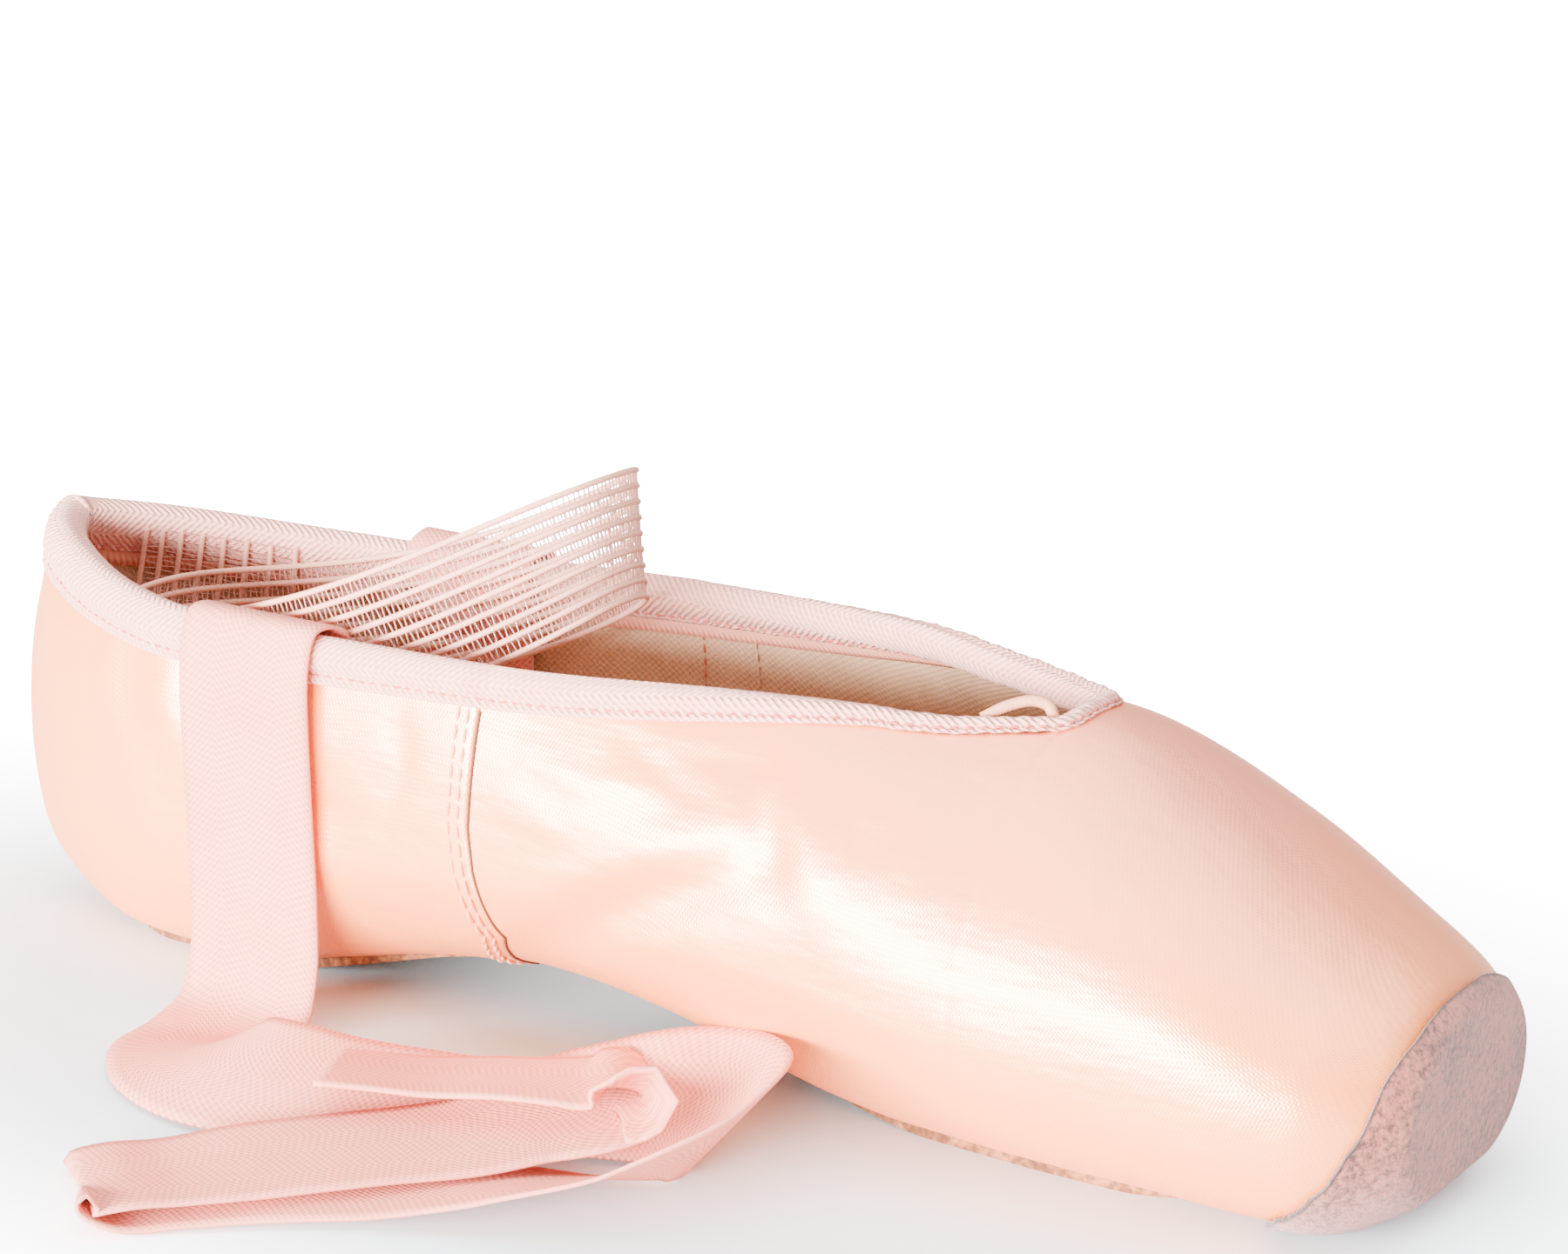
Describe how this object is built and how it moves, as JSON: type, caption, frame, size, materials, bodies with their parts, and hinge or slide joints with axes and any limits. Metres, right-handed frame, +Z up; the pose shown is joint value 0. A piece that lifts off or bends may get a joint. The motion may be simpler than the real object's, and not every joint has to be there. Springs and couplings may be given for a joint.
{
  "type": "pointe shoe",
  "caption": "Satin pointe shoe with a stiffened toe box, suede toe platform, thin leather outsole, bound collar with drawstring, elastic ankle loop and woven ribbons, empty on its sole.",
  "frame": {"origin": "on the floor, below the middle of the shoe's bounding box, the ribbons and the drawstring left out", "axes": "+X from the heel to the toe, +Z up, -Y the side that faces the camera"},
  "size_m": [0.2384, 0.2266, 0.0797],
  "materials": {
    "satin": "glossy pale peach satin over canvas and a paste-stiffened box",
    "leather": "matt tan leather with a raw cut edge",
    "insole_board": "matt beige cotton over fibre board",
    "suede": "matt mauve pink suede",
    "binding_tape": "matt light pink twill tape",
    "elastic_cord": "matt braided cord",
    "mesh_elastic": "open mesh of pale cords and fine clear filaments",
    "ribbon_tape": "matt pink woven tape with a fine basket weave"
  },
  "bodies": {
    "root": {"upper": "satin", "outsole": "leather", "insole": "insole_board", "toe_suede": "suede", "collar_binding": "binding_tape", "drawstring": "elastic_cord", "elastic_strap": "mesh_elastic", "ribbon_near": "ribbon_tape", "ribbon_far": "ribbon_tape"}
  },
  "joints": []
}
